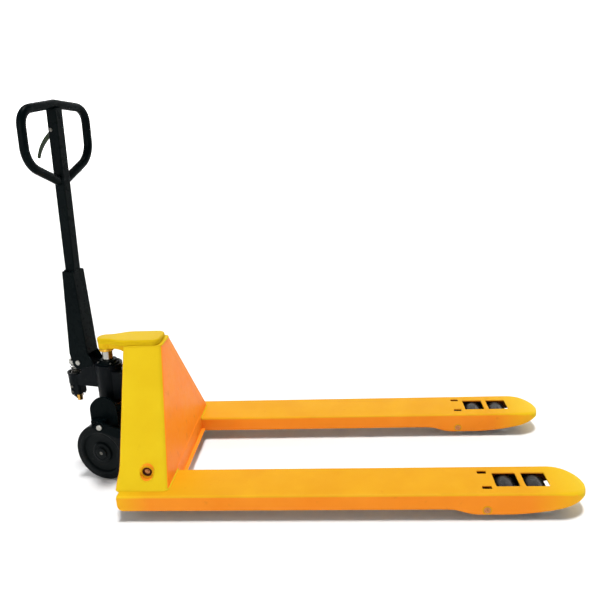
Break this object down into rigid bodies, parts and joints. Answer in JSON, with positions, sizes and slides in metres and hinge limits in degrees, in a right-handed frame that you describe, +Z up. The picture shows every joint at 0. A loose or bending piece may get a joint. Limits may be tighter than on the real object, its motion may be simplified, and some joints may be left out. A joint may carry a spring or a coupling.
{
  "type": "hand pallet jack",
  "caption": "Hand pallet jack: yellow fork frame raised by a hydraulic pump unit with steering wheels and a tow handle, on load rollers coupled by push rods.",
  "frame": {"origin": "on the floor, below the middle of the overall box at rest", "axes": "+X along the forks towards their tips, +Y to the operator's left, +Z up"},
  "size_m": [1.6704, 0.689, 1.2506],
  "materials": {
    "yellow_paint": "powder coated, semi gloss, yellow-orange",
    "bearing_disc": "zinc yellow passivated",
    "zinc": "bright zinc plated",
    "ram_chrome": "hard chrome, ground",
    "black_paint": "black enamel, semi gloss, faint green sheen",
    "black_casting": "sand cast, black enamel",
    "wheel_casting": "cast iron, black enamel",
    "wheel_tyre": "black polyurethane",
    "roller_core": "turned steel, oiled",
    "roller_tyre": "black polyurethane, satin",
    "spring_steel": "oiled spring wire",
    "brass": "turned brass",
    "trigger_paint": "dark green-grey enamel"
  },
  "bodies": {
    "carrier": {"carrier": "black_paint", "thrust_ring": "zinc"},
    "chassis": {"left_fork": "yellow_paint", "right_fork": "yellow_paint", "left_fork_tip": "yellow_paint", "right_fork_tip": "yellow_paint", "left_side_plate": "yellow_paint", "right_side_plate": "yellow_paint", "front_apron": "yellow_paint", "head_cap": "yellow_paint", "cross_shaft": "zinc", "shaft_sockets": "yellow_paint", "ram": "ram_chrome", "thrust_disc": "bearing_disc", "left_arm_pin": "zinc", "right_arm_pin": "zinc"},
    "rocker": {"rocker_arm": "black_paint", "rocker_pins": "zinc"},
    "pump_unit": {"pump_body": "black_casting", "pump_base": "black_casting", "gland_nut": "black_paint", "valve_block": "black_casting", "valve_plug": "brass", "steering_axle": "zinc", "axle_caps": "zinc", "release_chain": "zinc"},
    "left_wheel": {"left_wheel_hub": "wheel_casting", "left_wheel_tyre": "wheel_tyre", "left_wheel_bearings": "zinc"},
    "right_wheel": {"right_wheel_hub": "wheel_casting", "right_wheel_tyre": "wheel_tyre", "right_wheel_bearings": "zinc"},
    "plunger": {"plunger": "ram_chrome", "plunger_spring": "spring_steel"},
    "valve_lever": {"valve_lever": "black_paint"},
    "handle": {"handle_bracket": "black_paint", "handle_tube": "black_paint", "handle_loop": "black_paint", "hinge_pin": "zinc", "cam_pin": "zinc", "trigger_pin": "zinc"},
    "cam_roller": {"cam_roller": "roller_core"},
    "trigger": {"trigger": "trigger_paint"},
    "release_rod": {"release_rod": "zinc"},
    "left_rod": {"left_push_rod": "black_paint"},
    "left_arm": {"left_roller_arm": "black_paint"},
    "left_bogie": {"left_bogie": "black_paint", "left_roller_axles": "zinc"},
    "left_rear_roller": {"left_rear_roller_core": "roller_core", "left_rear_roller_tyre": "roller_tyre"},
    "left_front_roller": {"left_front_roller_core": "roller_core", "left_front_roller_tyre": "roller_tyre"},
    "right_rod": {"right_push_rod": "black_paint"},
    "right_arm": {"right_roller_arm": "black_paint"},
    "right_bogie": {"right_bogie": "black_paint", "right_roller_axles": "zinc"},
    "right_rear_roller": {"right_rear_roller_core": "roller_core", "right_rear_roller_tyre": "roller_tyre"},
    "right_front_roller": {"right_front_roller_core": "roller_core", "right_front_roller_tyre": "roller_tyre"}
  },
  "joints": [
    {"name": "lift", "type": "slide", "parent": "carrier", "child": "chassis", "axis": [0, 0, 1], "range_m": [0, 0.11]},
    {"name": "rocker_turn", "type": "hinge", "parent": "chassis", "child": "rocker", "pos_m": [-0.48683, 0, 0.131], "axis": [0, -1, 0], "range_deg": [0, 31.04]},
    {"name": "steer", "type": "hinge", "parent": "carrier", "child": "pump_unit", "pos_m": [-0.67183, 0, 0], "axis": [0, 0, 1], "range_deg": [-90, 120]},
    {"name": "left_wheel_spin", "type": "hinge", "parent": "pump_unit", "child": "left_wheel", "pos_m": [-0.65178, 0.07486, 0.1], "axis": [0.2588, 0.9659, 0], "continuous": true},
    {"name": "right_wheel_spin", "type": "hinge", "parent": "pump_unit", "child": "right_wheel", "pos_m": [-0.69189, -0.07486, 0.1], "axis": [0.2588, 0.9659, 0], "continuous": true},
    {"name": "handle_tilt", "type": "hinge", "parent": "pump_unit", "child": "handle", "pos_m": [-0.76843, 0.02588, 0.391], "axis": [-0.2588, -0.9659, 0], "range_deg": [0, 80], "stiffness_Nm_per_rad": 25, "springref_deg": -34.38},
    {"name": "plunger_slide", "type": "slide", "parent": "pump_unit", "child": "plunger", "axis": [0, 0, -1], "range_m": [0, 0.04], "deforming": ["plunger_spring"]},
    {"name": "cam_spin", "type": "hinge", "parent": "handle", "child": "cam_roller", "pos_m": [-0.79819, 0.03386, 0.39792], "axis": [0.2588, 0.9659, 0], "continuous": true},
    {"name": "trigger_turn", "type": "hinge", "parent": "handle", "child": "trigger", "pos_m": [-0.75218, 0.02153, 1.15984], "axis": [0.2588, 0.9659, 0], "range_deg": [-10, 16], "stiffness_Nm_per_rad": 0.6},
    {"name": "rod_slide", "type": "slide", "parent": "handle", "child": "release_rod", "axis": [0.0287, -0.0077, 0.9996], "range_m": [-0.0026, 0.0042]},
    {"name": "valve_turn", "type": "hinge", "parent": "pump_unit", "child": "valve_lever", "pos_m": [-0.73945, 0.01812, 0.318], "axis": [0.2588, 0.9659, 0], "range_deg": [-5, 8], "stiffness_Nm_per_rad": 0.2},
    {"name": "left_rod_push", "type": "slide", "parent": "chassis", "child": "left_rod", "axis": [1, 0, 0], "range_m": [0, 0.04097]},
    {"name": "left_arm_swing", "type": "hinge", "parent": "chassis", "child": "left_arm", "pos_m": [0.53617, 0.2625, 0.032], "axis": [0, 1, 0], "range_deg": [0, 69.37]},
    {"name": "left_bogie_tilt", "type": "hinge", "parent": "left_arm", "child": "left_bogie", "pos_m": [0.64817, 0.2625, 0.04], "axis": [0, -1, 0], "range_deg": [0, 69.37]},
    {"name": "left_rear_roller_spin", "type": "hinge", "parent": "left_bogie", "child": "left_rear_roller", "pos_m": [0.60492, 0.2625, 0.04], "axis": [0, 1, 0], "continuous": true},
    {"name": "left_front_roller_spin", "type": "hinge", "parent": "left_bogie", "child": "left_front_roller", "pos_m": [0.69142, 0.2625, 0.04], "axis": [0, 1, 0], "continuous": true},
    {"name": "right_rod_push", "type": "slide", "parent": "chassis", "child": "right_rod", "axis": [1, 0, 0], "range_m": [0, 0.04097]},
    {"name": "right_arm_swing", "type": "hinge", "parent": "chassis", "child": "right_arm", "pos_m": [0.53617, -0.2625, 0.032], "axis": [0, 1, 0], "range_deg": [0, 69.37]},
    {"name": "right_bogie_tilt", "type": "hinge", "parent": "right_arm", "child": "right_bogie", "pos_m": [0.64817, -0.2625, 0.04], "axis": [0, -1, 0], "range_deg": [0, 69.37]},
    {"name": "right_rear_roller_spin", "type": "hinge", "parent": "right_bogie", "child": "right_rear_roller", "pos_m": [0.60492, -0.2625, 0.04], "axis": [0, 1, 0], "continuous": true},
    {"name": "right_front_roller_spin", "type": "hinge", "parent": "right_bogie", "child": "right_front_roller", "pos_m": [0.69142, -0.2625, 0.04], "axis": [0, 1, 0], "continuous": true}
  ],
  "couplings": [
    {"joint": "rocker_turn", "follows": "lift", "rad_per_m": 4.925},
    {"joint": "plunger_slide", "follows": "handle_tilt", "m_per_rad": 0.028648},
    {"joint": "rod_slide", "follows": "trigger_turn", "m_per_rad": 0.0145},
    {"joint": "valve_turn", "follows": "trigger_turn", "ratio": 0.49},
    {"joint": "left_rod_push", "follows": "lift", "ratio": 0.37248},
    {"joint": "left_arm_swing", "follows": "lift", "rad_per_m": 11.007},
    {"joint": "left_bogie_tilt", "follows": "lift", "rad_per_m": 11.007},
    {"joint": "right_rod_push", "follows": "lift", "ratio": 0.37248},
    {"joint": "right_arm_swing", "follows": "lift", "rad_per_m": 11.007},
    {"joint": "right_bogie_tilt", "follows": "lift", "rad_per_m": 11.007}
  ]
}
